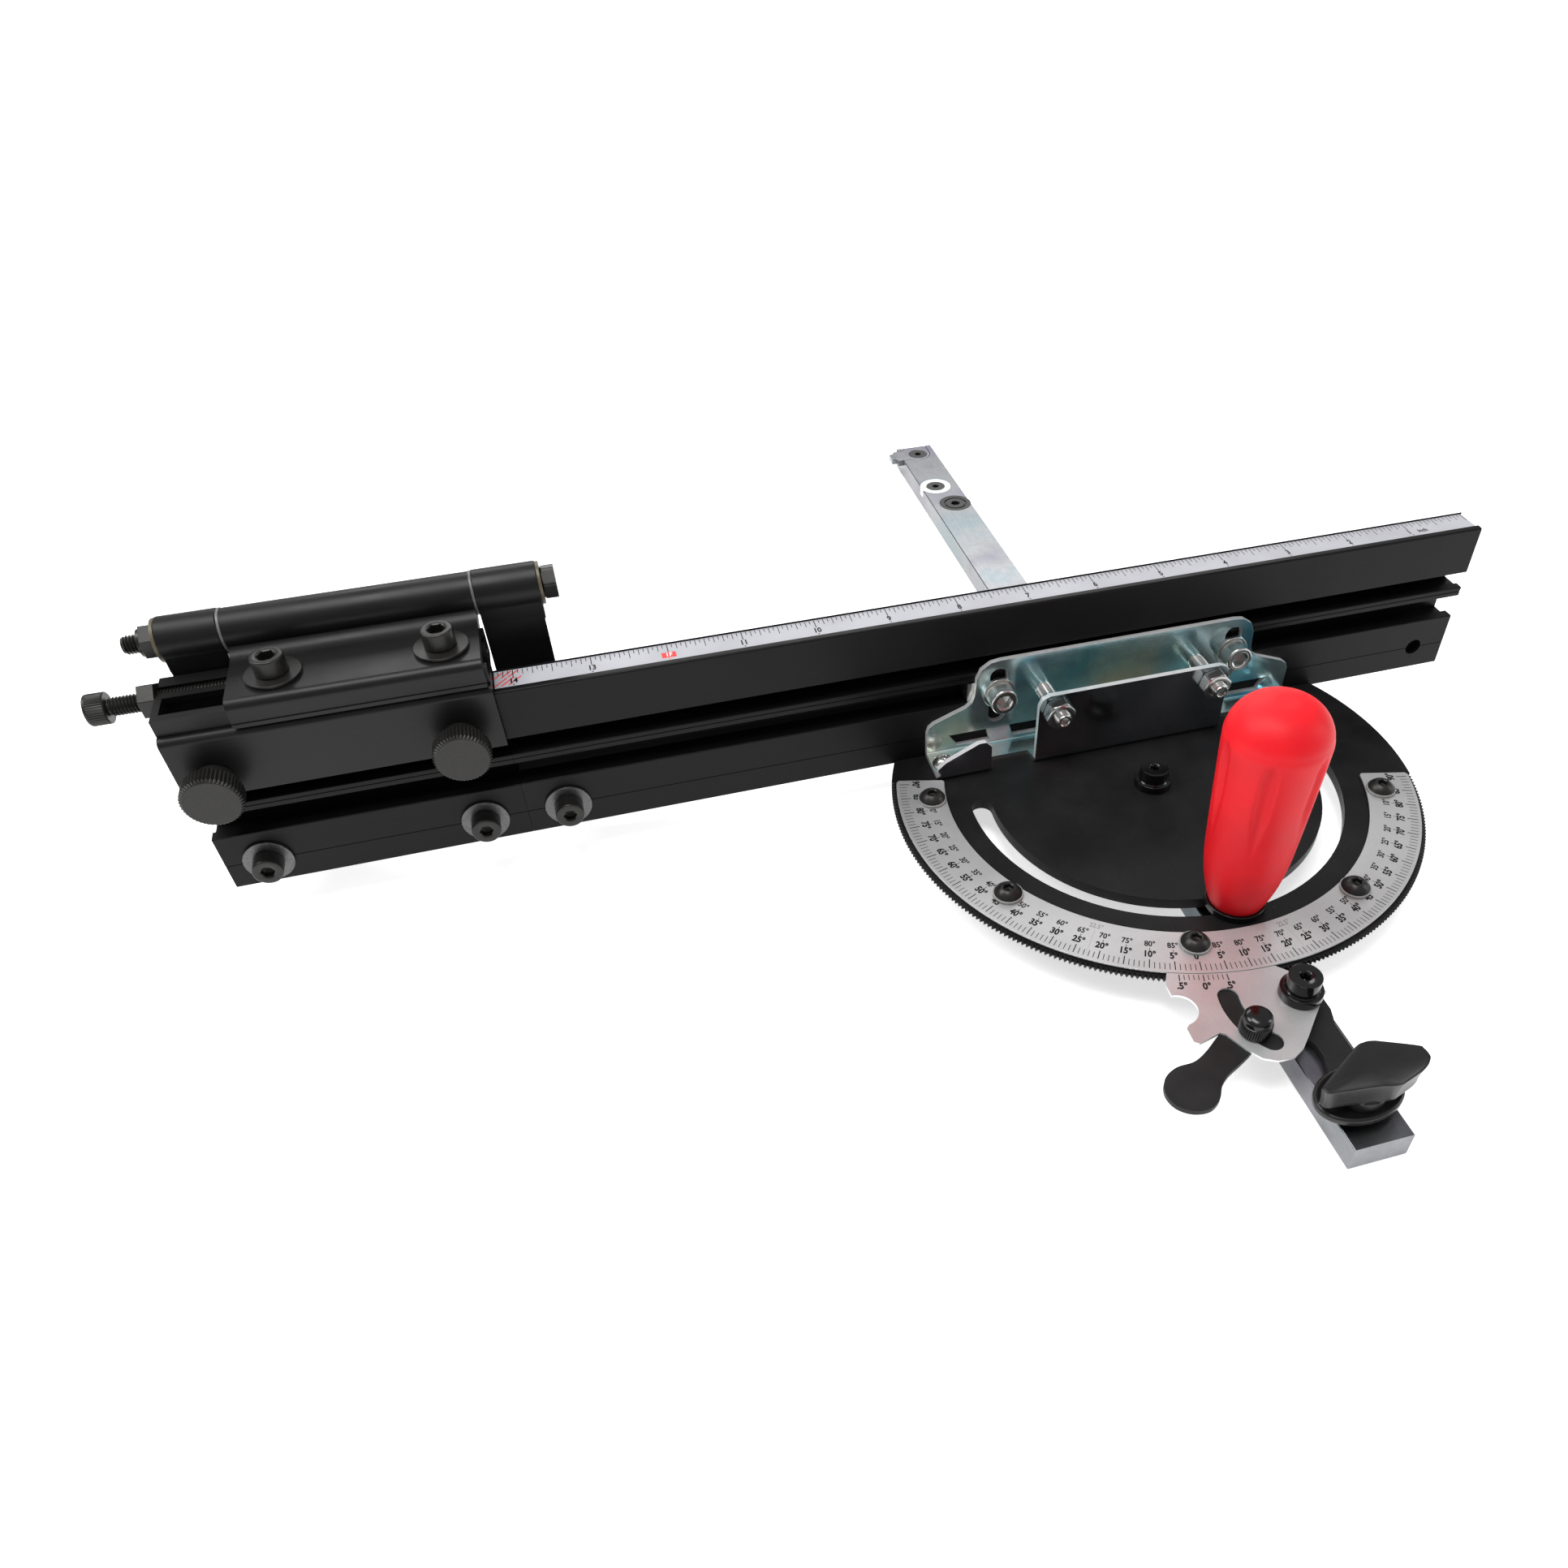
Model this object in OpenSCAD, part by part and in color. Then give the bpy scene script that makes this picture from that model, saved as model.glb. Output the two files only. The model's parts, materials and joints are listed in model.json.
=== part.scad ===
// Miter gauge for a table saw: protractor head on a slot bar, with a
// two-piece fence, a flip stop and its micro-adjuster.
// Origin: pivot axis at the table surface. +X along the fence,
// +Y the way the bar is pushed, +Z up. Millimetres.

/* [Bar] */
// width of the bar that runs in the table slot
bar_w = 19.05; // [18.8:0.05:19.1]
// thickness of the bar
bar_h = 9.4; // [9:0.1:9.5]
// reach of the bar towards the user from the pivot
bar_near = 156.5; // [156:0.5:200]
// reach of the bar past the pivot on the saw's side
bar_far = 303.5; // [280:0.5:330]

/* [Head] */
// radius of the protractor plate over its teeth
plate_r = 95; // [94.9:0.1:95]
// thickness of the protractor plate at its slot
plate_thick = 4; // [3.6:0.1:4.4]
// angle between the index line and the bar, towards the user's left
index_turn = -15.25; // [-15.5:0.25:-15]
// radius of the arc that the clamp stud runs in
arc_r = 63.8; // [63.5:0.1:64]
// diameter of the clamp stud
stud_d = 7; // [6.8:0.1:7]

/* [Fence] */
// height of the fence section
fence_h = 59.3; // [59:0.1:59.5]
// thickness of the fence section
fence_t = 13.6; // [13.4:0.1:13.6]
// right end of the main fence from the pivot
fence_right = 143.8; // [136:0.2:200]
// length of the main fence
fence_len = 363; // [362:0.5:420]
// gap at rest between the main fence and its extension
fence_gap = 0.1; // [0.1:0.1:0.4]
// length of the extension
extension_len = 99.2; // [99:0.1:99.4]
// length of the rail that carries the extension
rail_len = 250; // [200:5:260]

/* [Handle] */
// height of the grip over its collar
grip_h = 78; // [76:1:96]
// largest diameter of the grip
grip_d = 31.8; // [30:0.2:32]

/* [Hidden] */
$fn = 64;
e = 0.05;
fine = 0.05;
face_y = 39.7;
back_y = face_y + fence_t;
fence_z = 4.6;
top_z = fence_z + fence_h;
fence_left = fence_right - fence_len;
ext_right = fence_left - fence_gap;
ext_left = ext_right - extension_len;
plate_top = 5.8;
plate_z = plate_top - plate_thick;
land_z = 6.4;
scale_z = 7.1;
boss_y = -106;
wing_x = -1;
wing_y = -142;
lock_z = 14.2;
hinge_y = 72;
hinge_z = 82.1;
screw_y = 57.35;
screw_z = 70.25;
clamp_y = 49.9;
bracket_x = -1;
tilt_xs = [-28.9, 32.2];
tooth_from = index_turn - 92;
tooth_n = 184;
pawl_a = index_turn - 0.5;
pawl_swing = 3;
base_l = ext_left;
base_r = ext_right;
carrier_l = -296;
carrier_r = -220.2;
stop_xs = [-307.5, -232.6];
clamp_xs = [-282.2, -231.8];
stop_z = 51.2;
lock_xs = [-304.8, -233.7];
scale_as = [-84, -45, 0, 45, 85];

black = [0.05, 0.05, 0.055];
zinc = [0.72, 0.76, 0.8];
satin = [0.7, 0.7, 0.71];
steel = [0.35, 0.35, 0.36];
oxide = [0.1, 0.1, 0.1];
red = [0.85, 0.04, 0.05];
nylon = [0.92, 0.92, 0.9];

// direction a, counted from the user's side towards +X
function pol(r, a) = [r * sin(a), -r * cos(a)];
function arc(r, a0, a1, n) = [for (i = [0:n]) pol(r, a0 + (a1 - a0) * i / n)];

// solid of a section drawn in (y, z), along X from x0 to x1
module along_x(x0, x1) {
  translate([x0, 0, 0]) rotate([90, 0, 90]) linear_extrude(x1 - x0) children();
}
// solid of a section drawn in (x, z), along Y from y0 to y1
module along_y(y0, y1) {
  translate([0, y1, 0]) rotate([90, 0, 0]) linear_extrude(y1 - y0) children();
}
module box(x0, x1, y0, y1, z0, z1) {
  translate([x0, y0, z0]) cube([x1 - x0, y1 - y0, z1 - z0]);
}
// axis turned so that +Z becomes -Y (heads face the user)
module to_user(p) { translate(p) rotate([90, 0, 0]) children(); }
module to_left(p) { translate(p) rotate([0, -90, 0]) children(); }

module tube(r_out, r_in, h) {
  difference() {
    cylinder(r = r_out, h = h);
    translate([0, 0, -1]) cylinder(r = r_in, h = h + 2);
  }
}
module hex(af, h) { cylinder(d = af / cos(30), h = h, $fn = 6); }

// socket head screw: seat at z = 0, head above, shank below
module cap_screw(d, head_d, head_h, len, key) {
  difference() {
    union() {
      cylinder(d = head_d, h = head_h - 0.4);
      translate([0, 0, head_h - 0.4])
        cylinder(d1 = head_d, d2 = head_d - 0.8, h = 0.4);
    }
    translate([0, 0, head_h - key * 0.6]) hex(key, key);
  }
  translate([0, 0, -len]) cylinder(d = d, h = len + 0.1);
}
// button head screw, same datum
module button_screw(d, head_d, head_h, len, key) {
  ball = (head_d * head_d / 4 + head_h * head_h) / (2 * head_h);
  difference() {
    intersection() {
      translate([0, 0, head_h - ball]) sphere(r = ball, $fn = 96);
      cylinder(d = head_d, h = head_h);
    }
    translate([0, 0, head_h - key * 0.5]) hex(key, key);
  }
  translate([0, 0, -len]) cylinder(d = d, h = len + 0.1);
}
// flanged boss with a hex hole: seat at z = 0
module flanged_boss(d0, d1, d2, h, key) {
  difference() {
    union() {
      cylinder(d = d0, h = h * 0.35);
      translate([0, 0, h * 0.35]) cylinder(d1 = d0 - 1, d2 = d1, h = h * 0.2);
      cylinder(d1 = d1, d2 = d2, h = h);
    }
    translate([0, 0, h - key]) hex(key, key + 1);
  }
}
// knurled drum: n shallow ridges round a rim of radius r
module drum(r, h, n, depth) {
  linear_extrude(h) polygon([for (i = [0:2 * n - 1])
    let (q = r - (i % 2) * depth, a = i * 180 / n) [q * cos(a), q * sin(a)]]);
}

// ---------------------------------------------------------------- bar
module miter_bar() color(zinc) {
  w = bar_w / 2;
  c = 0.3;
  difference() {
    along_y(-bar_near, bar_far) polygon([
      [-w + c, -bar_h], [w - c, -bar_h], [w, c - bar_h], [w, -c],
      [w - c, 0], [c - w, 0], [-w, -c], [-w, c - bar_h]]);
    hole(0, 0, 3 + fine);
    hole(0, -arc_r, stud_d / 2 + fine);
    hole(0, boss_y, 2.5 + fine);
    hole(wing_x, wing_y, 3 + fine);
    hole(0, bar_far - 8.6, 2.5 + fine);
    hole(-2, 256.9, 2.5 + fine);
    // seat of the guide plate, open at the end and to the left
    translate([0, bar_far - 8.6, -3]) cylinder(r = 6.6, h = 4);
    box(-6.6, 6.6, bar_far - 8.6, bar_far + 1, -3, 1);
    box(-12, 0, bar_far - 14, bar_far - 2.5, -3, 1);
    // pockets of the two slot-play adjusters
    translate([-2, 256.9, -4.1]) cylinder(r = 7.9, h = 5);
    translate([2, 236.5, -4.1]) cylinder(r = 7.9, h = 5);
    translate([2, 236.5, -7]) cylinder(r = 3 + fine, h = 5);
  }
}
module hole(x, y, r) { translate([x, y, -bar_h - 1]) cylinder(r = r, h = bar_h + 2); }

module bar_guide_plate() color(zinc) difference() {
  y = bar_far - 8.6;
  union() {
    translate([0, y, -2.9]) cylinder(r = 6.4, h = 2.9);
    box(-6.4, 6.4, y, bar_far - 0.2, -2.9, 0);
    box(-12.4, 0, bar_far - 13.7, bar_far - 2.8, -2.9, 0);
    box(-14.9, -12.3, bar_far - 11, bar_far - 5, -2.9, 0);
  }
  translate([0, y, -4]) cylinder(r = 2.6, h = 5);
  translate([0, y, -2.3]) cylinder(r1 = 2.6, r2 = 4.95, h = 2.35);
}
module guide_plate_screw() color(oxide) translate([0, bar_far - 8.6, 0])
  sunk_screw(2.3, 7);
module sunk_screw(head, len) difference() {
  union() {
    translate([0, 0, -head + 0.05]) cylinder(r1 = 2.5, r2 = 4.8, h = head - 0.1);
    translate([0, 0, -len]) cylinder(r = 2.5, h = len - 1);
  }
  translate([0, 0, -1.6]) hex(3, 2);
}
module expansion_washer() color(nylon) translate([-2, 256.9, -4]) difference() {
  cylinder(r = 7.8, h = 4);
  translate([0, 0, -1]) cylinder(r = 2.6, h = 6);
  translate([0, 0, 1.8]) cylinder(r1 = 2.6, r2 = 5, h = 2.3);
  box(-9, -2, -0.4, 0.4, -1, 5);
}
module expansion_screw() color(oxide) translate([-2, 256.9, 0]) sunk_screw(2.2, 7);
module expansion_disc() color(oxide) translate([2, 236.5, -4]) difference() {
  union() {
    cylinder(r = 7.8, h = 4);
    translate([0, 0, -2.5]) cylinder(r = 3, h = 3);
  }
  translate([0, 0, 3.5]) tube(5.6, 4.9, 1);
  translate([0, 0, 2]) hex(4, 3);
}
module pivot_boss() color(oxide) {
  translate([0, 0, plate_top + 0.1]) flanged_boss(13.1, 11.4, 10.4, 7.6, 4);
  translate([0, 0, e]) cylinder(r = 6, h = plate_top + 0.2);
  translate([0, 0, -8.6]) cylinder(r = 3, h = 9);
}
module clamp_stud() color(steel)
  translate([0, -arc_r, -bar_h + 0.4]) cylinder(d = stud_d, h = 62);

// ------------------------------------------------- index and vernier
module index_base() color(black) difference() {
  union() {
    // foot under the lever, and the arm along the bar
    linear_extrude(2.8) polygon([
      [-8.8, -97], [8.8, -97], [8.8, -111], [6.9, -117], [6.9, -142], [-4.9, -142],
      [-4.9, -134], [-4.1, -131.7], [-2.6, -126.2], [-2.7, -122.2], [-4, -118],
      [-8.8, -114]]);
    translate([wing_x, wing_y, 0]) cylinder(r = 7.4, h = 2.8);
    // post that the lever turns on and the vernier sits on
    translate([0, boss_y, 0]) cylinder(r = 4, h = 6.25);
  }
  translate([0, boss_y, -1]) cylinder(r = 2.5 + fine, h = 9);
  translate([wing_x, wing_y, -1]) cylinder(r = 3 + fine, h = 9);
}
module vernier_plate() color(satin) translate([0, 0, scale_z - 0.8])
  linear_extrude(0.8) difference() {
    polygon(concat(
      arc(93.5, -22, -1, 24),
      [[3, -98.5], [8.2, -104], [8, -107.5], [4.6, -110.5], [-5.6, -121.2],
       [-9.5, -125], [-13.5, -127.2], [-18.5, -127], [-22.6, -124.8],
       [-25.5, -120.5], [-28.6, -113.8], [-30, -112.8], [-37.6, -114.9],
       [-39, -113.6], [-38.8, -108.6], [-37.2, -107.2], [-37.6, -95.6],
       [-37.4, -91]]));
    translate([-38, -101.5]) circle(r = 5.9);
    translate([0, boss_y]) circle(r = 2.5 + fine);
    // slot that the lever's lock screw swings in
    for (a = [166:6:222])
      translate([0, boss_y]) rotate(a) translate([21.9, 0]) circle(r = 3.3);
  }
module vernier_boss() color(oxide) translate([0, boss_y, scale_z + e]) {
  flanged_boss(13.4, 11, 10.2, 8.4, 4);
  translate([0, 0, -15]) cylinder(r = 2.5, h = 15.1);
}
module index_lever() color(black) translate([0, boss_y, 2.95]) linear_extrude(3.25)
  difference() {
    union() {
      circle(r = 6.6);
      polygon([[-2, 6], [-20.5, 7.2], [-24, 9.2], [-28.6, 5.5], [-27, -2], [-28.5, -6.6],
        [-34, -9.6], [-39.5, -12.2], [-46, -12.6], [-34.6, -21.4], [-30.2, -19],
        [-23.2, -15.4], [-2, -6.2]]);
      polygon([[-36, -11], [-46, -13.4], [-52, -16.5], [-54, -22], [-46, -30],
        [-41.6, -28.8], [-38, -24.4], [-33.5, -20.4]]);
      translate([-46, -22]) circle(r = 8.7);
      // tooth that drops between the teeth of the plate
      rotate(pawl_swing) translate([0, -boss_y]) polygon([
        pol(93.95, pawl_a), pol(95.6, pawl_a - 0.55), pol(99, pawl_a - 2.2),
        pol(103, pawl_a - 1.8), pol(103, pawl_a + 1.2), pol(99, pawl_a + 1.6),
        pol(95.6, pawl_a + 0.45)]);
    }
    circle(r = 4 + fine);
    rotate(204) translate([21.9, 0]) circle(r = 2 + fine);
  }
module lever_lock_screw() color(oxide)
  translate([0, boss_y, 0]) rotate(204) translate([21.9, 0, scale_z + 0.1]) {
    drum(4.9, 4.6, 30, 0.3);
    translate([0, 0, 4.5]) intersection() {
      cylinder(r = 4.4, h = 4);
      translate([0, 0, -4]) sphere(r = 7.4);
    }
    translate([0, 0, -4]) cylinder(r = 2, h = 4.1);
  }

// --------------------------------------------------- protractor head
module before_fence() intersection() {
  children();
  translate([-100, -100]) square([200, 139.5]);
}
module scale_ring() polygon(concat(
  arc(93.2, index_turn - 90.8, index_turn + 90.8, 90),
  [pol(92.4, index_turn + 91.5), pol(76.6, index_turn + 91.8)],
  arc(75.8, index_turn + 91.2, index_turn - 91.2, 90),
  [pol(76.6, index_turn - 91.8), pol(92.4, index_turn - 91.5)]));
module protractor_plate() color(black) difference() {
  union() {
    // toothed rim
    translate([0, 0, plate_top - 1.5]) linear_extrude(1.5) before_fence()
      polygon(concat(
        [for (i = [0:2 * tooth_n])
          pol(plate_r - (i % 2) * 1.35, tooth_from + i / 2)],
        arc(plate_r, tooth_from + tooth_n + 0.5, tooth_from + 359.5, 60)));
    // web, hub on the bar, land under the scale
    translate([0, 0, plate_z]) linear_extrude(plate_thick - 1) before_fence()
      circle(r = 89.5, $fn = 180);
    cylinder(r = 52, h = plate_z + 1);
    translate([0, 0, plate_top - 1]) linear_extrude(land_z - plate_top + 1) scale_ring();
  }
  translate([0, 0, -1]) linear_extrude(9) {
    circle(r = 6 + fine);
    arc_slot(-95, 95, arc_r, stud_d / 2 + 0.3);
    for (a = scale_as) translate(pol(81, a + index_turn)) circle(r = 2.5 + fine);
    for (s = [-1, 1]) translate([bracket_x + s * 69, 30.8]) circle(r = 2.5 + fine);
  }
}
// slot of half width w along the arc of radius r from a0 to a1
module arc_slot(a0, a1, r, w) {
  polygon(concat(arc(r + w, a0, a1, 60), arc(r - w, a1, a0, 60)));
  for (a = [a0, a1]) translate(pol(r, a)) circle(r = w);
}
module degree_scale() color(satin) translate([0, 0, land_z])
  linear_extrude(scale_z - land_z) difference() {
    scale_ring();
    for (a = scale_as) translate(pol(81, a + index_turn)) circle(r = 2.5 + fine);
  }
module at_scale_screws(z) {
  for (a = scale_as) let (p = pol(81, a + index_turn))
    translate([p[0], p[1], z]) children();
}
module scale_washers() color(nylon) at_scale_screws(scale_z)
  tube(5.1, 2.55, 1);
module scale_screws() color(oxide) at_scale_screws(scale_z + 1)
  button_screw(5, 9.4, 3, 6, 3);

// ------------------------------------------------- bracket and screws
module mirrored() { for (s = [-1, 1]) scale([s, 1, 1]) children(); }
module bracket_back() difference() {
  polygon([[-73.4, 5.8], [-73.4, 17], [-72.6, 19.4], [-70.6, 21], [-58.6, 25.6],
    [-56.2, 27.6], [-55.2, 30.6], [-54.8, 37.2], [-53.2, 41], [-49.6, 43.4],
    [-46, 43.9], [46, 43.9], [49.6, 43.4], [53.2, 41], [54.8, 37.2],
    [55.2, 30.6], [56.2, 27.6], [58.6, 25.6], [70.6, 21], [72.6, 19.4],
    [73.4, 17], [73.4, 5.8]]);
  mirrored() {
    translate([46.5, 20.7]) circle(r = 3.3);
    translate([46.5, 37.2]) circle(r = 3.3);
    translate([43.2, 20.7]) square([6.6, 16.5]);
    polygon([[65, 14.6], [50, 14.6], [49.4, 11], [48.4, 9.4], [61.5, 9.4]]);
    polygon([[41.2, 14.6], [22, 14.6], [23.5, 9.4], [39.6, 9.4]]);
  }
}
module fence_bracket() color(zinc) translate([bracket_x, 0, 0]) {
  along_y(37.6, 39.6) bracket_back();
  difference() {
    translate([0, 0, plate_top]) linear_extrude(2) polygon([
      [-73.4, 39], [-73.4, 23.5], [-52.6, 23.5], [-51.6, 29.4], [-36.5, 29.4],
      [-35.7, 23.5], [38.9, 23.5], [39.7, 29.4], [51.6, 29.4], [52.6, 23.5],
      [73.4, 23.5], [73.4, 39]]);
    mirrored() translate([69, 30.8, 0]) cylinder(r = 2.7, h = 12);
  }
  difference() {
    along_y(23.5, 25.5) polygon([[-35.7, 5.8], [-35.7, 31], [-34.5, 33.8], [-31.7, 35],
      [34.9, 35], [37.7, 33.8], [38.9, 31], [38.9, 5.8]]);
    for (x = tilt_xs) to_user([x, 27, 28.8]) cylinder(r = 3 + fine, h = 6);
  }
  mirrored() along_y(23.5, 25.5) polygon([[73.4, 5.8], [73.4, 11], [70.5, 13.6],
    [58, 19.6], [55.2, 19.6], [53, 17.2], [52.6, 5.8]]);
}
module bracket_screws() color(zinc) for (s = [-1, 1])
  translate([bracket_x + s * 69, 30.8, plate_top + 2])
    button_screw(5, 8.2, 3.4, 5.9, 2.5);
module at_fence_screws(y) {
  for (s = [-1, 1]) to_user([bracket_x + s * 46.5, y, 30.8]) children();
}
module fence_screw_washers() color(zinc) at_fence_screws(37.6) tube(6, 3.2, 1.6);
module fence_screws() color(zinc) at_fence_screws(36) cap_screw(6, 10, 6, 10.8, 5);
module fence_slot_nuts() color(zinc) difference() {
  for (s = [-1, 1]) let (x = bracket_x + s * 46.5) {
    box(x - 11, x + 8.6, 39.75, 43.9, 27, 34.6);
    box(x - 11, x + 8.6, 43.75, 46.8, 25, 36.6);
  }
  at_fence_screws(48) cylinder(r = 3 + fine, h = 10);
}
module tilt_set_screws() color(zinc) for (x = tilt_xs)
  to_user([bracket_x + x, 37.55, 28.8]) difference() {
    cylinder(d = 6, h = 22);
    translate([0, 0, 19]) hex(3, 4);
  }
module tilt_lock_nuts() color(zinc) for (x = tilt_xs)
  to_user([bracket_x + x, 23.5, 28.8]) rotate(12) difference() {
    hex(10, 5);
    translate([0, 0, -1]) cylinder(r = 3 + fine, h = 7);
  }

// -------------------------------------------------------------- fence
module fence_section() difference() {
  translate([face_y, fence_z]) square([fence_t, fence_h]);
  // recess of the tape
  translate([42.3, top_z - 0.9]) square([back_y - 43, 2]);
  // upper slot
  translate([face_y - 1, 39]) square([5, 6.4]);
  translate([42.9, 38]) square([7, 9.6]);
  // lower slot
  translate([face_y - 1, 26.3]) square([5, 8.9]);
  translate([43.6, 24.4]) square([6.4, 12.4]);
  // hollows: rail, core
  translate([43.4, 7.8]) square([6.6, 13.2]);
  translate([42.9, 51]) square([7.4, 8.6]);
  // line on the nose and on the lower face
  translate([face_y - 1, 37]) square([1.25, 0.4]);
  translate([face_y - 1, lock_z - 0.15]) square([1.2, 0.3]);
}
module main_fence() color(black) difference() {
  along_x(fence_left, fence_right) fence_section();
  to_user([-205.3, 44, lock_z]) cylinder(r = 2.5 + fine, h = 8);
  to_user([130.6, 44, lock_z]) cylinder(r = 3.25, h = 8);
}
module fence_tape() color(nylon)
  box(fence_left + 0.3, fence_right - 0.4, 42.35, back_y - 0.75, top_z - 0.9, top_z - 0.6);
module lock_screw(x, len) to_user([x, face_y - 1.2, lock_z])
  cap_screw(5, 9.7, 5.8, len, 4);
module lock_washer(x) to_user([x, face_y, lock_z]) tube(8, 2.6, 1.2);
module fence_lock_screw() color(oxide) lock_screw(-205.3, 5);
module fence_lock_washer() color(steel) lock_washer(-205.3);
module extension_fence() color(black) difference() {
  along_x(ext_left, ext_right) fence_section();
  for (x = lock_xs) to_user([x, 44, lock_z]) cylinder(r = 2.6, h = 8);
}
module extension_rail() color(steel) difference() {
  box(ext_left + 8, ext_left + 8 + rail_len, 43.52, 49.9, 7.9, 20.9);
  for (x = lock_xs) to_user([x, 51, lock_z]) cylinder(r = 2.5 + fine, h = 9);
}
module extension_screws() color(oxide) for (x = lock_xs) lock_screw(x, 10);
module extension_washers() color(steel) for (x = lock_xs) lock_washer(x);

// ---------------------------------------------------------- flip stop
module stop_base_section() difference() {
  union() {
    translate([37.3, 44.9]) square([2.2, 20]);
    translate([39.7, 65.2]) circle(r = 2.4);
    translate([37.3, 64]) square([3, 1.2]);
    translate([39.5, 64.05]) square([25, 3.55]);
    translate([53.45, 56]) square([3, 9]);
    translate([40.4, 67]) square([1.8, 6.3]);
    translate([40.4, 71.3]) square([3.1, 2]);
    translate([53, 67]) square([11.5, 6.3]);
    translate([52.5, 71.3]) square([5, 2]);
  }
  translate([39.51, 60]) square([13.93, 4.04]);
  translate([screw_y, screw_z]) circle(r = 3.25);
  translate([55.4, screw_z]) square([3.9, 4]);
}
module stop_base() color(black) difference() {
  union() {
    along_x(base_l, base_r) stop_base_section();
    // closed left end of the front channel
    box(base_l, base_l + 2.2, 42, 53.2, 67, 73.3);
  }
  for (x = stop_xs) to_user([x, 42, stop_z]) cylinder(r = 2.5 + fine, h = 6);
}
module stop_knob(x) to_user([x, 37.25, stop_z]) {
  cylinder(r = 6, h = 5.6);
  translate([0, 0, 5.5]) drum(9.1, 7, 48, 0.4);
  translate([0, 0, -2.3]) cylinder(r = 2.5, h = 2.4);
}
module stop_knob_left() color(oxide) stop_knob(stop_xs[0]);
module stop_knob_right() color(oxide) stop_knob(stop_xs[1]);
module micro_adjust_nut() color(oxide) to_left([base_l, screw_y, screw_z])
  difference() {
    hex(10, 5);
    translate([0, 0, -1]) cylinder(r = 3 + fine, h = 7);
  }
module micro_adjust_screw() color(oxide) to_left([-333.3, screw_y, screw_z])
  cap_screw(6, 10, 6, 37.2, 5);
module carrier_section() {
  translate([40.5, 73.45]) square([21, 3.65]);
  translate([40.5, 74.1]) circle(r = 3);
  translate([37.5, 68.3]) square([2.7, 5.9]);
  translate([37.1, 68.3]) square([0.6, 1.3]);
  polygon([[58, 73.45], [64, 73.6], [74, 75.6], [72, 82.1], [66, 80.6],
    [64.6, 78.6], [62.6, 77.4], [59.6, 77.1]]);
}
module stop_carrier() color(black) difference() {
  union() {
    difference() {
      along_x(carrier_l, carrier_r) carrier_section();
      box(-330, -200, 40.21, 45, 68, 73.44);
    }
    along_x(carrier_l, carrier_r) translate([hinge_y, hinge_z]) circle(r = 7);
    // tab in the screw channel that the micro-adjuster pushes
    box(carrier_l, carrier_l + 4, 55.7, 59, 67.8, 74);
  }
  to_left([-200, hinge_y, hinge_z]) cylinder(r = 3 + fine, h = 120);
  for (x = clamp_xs) translate([x, clamp_y, 70]) cylinder(r = 2.7, h = 10);
}
module carrier_washers() color(oxide) for (x = clamp_xs)
  translate([x, clamp_y, 77.1]) tube(8.6, 2.7, 1.2);
module carrier_screws() color(oxide) for (x = clamp_xs)
  translate([x, clamp_y, 78.3]) cap_screw(5, 10, 6, 10.4, 5);
module carrier_slot_nuts() color(steel) for (x = clamp_xs)
  translate([x, clamp_y, 67.8]) difference() {
    translate([-8, -7.3, 0]) cube([16, 10.2, 3.3]);
    translate([0, 0, -1]) cylinder(r = 2.5 + fine, h = 6);
  }
module on_hinge(x) { to_left([x, hinge_y, hinge_z]) children(); }
module hinge_bolt() color(oxide) {
  on_hinge(-193.2) hex(10, 4.5);
  on_hinge(-197.6) cylinder(r = 3, h = 128.8);
}
module hinge_nut() color(steel) on_hinge(-316.35) difference() {
  union() {
    hex(10, 3.8);
    cylinder(r = 4.4, h = 5);
  }
  translate([0, 0, -1]) cylinder(r = 3 + fine, h = 8);
}
module hinge_spacers() color(nylon) {
  on_hinge(-219.27) tube(7.2, 3.1, 0.88);
  on_hinge(-296.05) tube(7.2, 3.1, 0.88);
}
module hinge_end_washers() color(zinc) {
  on_hinge(-197.75) tube(7, 3.1, 1.1);
  on_hinge(-315.2) tube(7, 3.1, 1.1);
}
// flip arm: knuckle on the hinge, plate behind the fence, foot at its face
module flip_arm(x0, x1, p0, p1) difference() {
  union() {
    along_x(x0, x1) translate([hinge_y, hinge_z]) circle(r = 7.3);
    along_x(x0, x1) polygon([[65.6, 78.6], [65.6, 74.2], [66.4, 72], [70, 72], [75, 76]]);
    along_x(p0, p1) polygon([[66, 74], [66, 30], [58, 30], [54.2, 26], [54.2, 11],
      [70, 11], [70, 76]]);
  }
  on_hinge(x1 + 1) cylinder(r = 3 + fine, h = x1 - x0 + 2);
}
module flip_arm_left() color(black) {
  flip_arm(-315.1, -297, -315.1, -297);
}
module flip_arm_right() color(black) {
  flip_arm(-219.2, -198.9, -219.2, -199.4);
}

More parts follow.
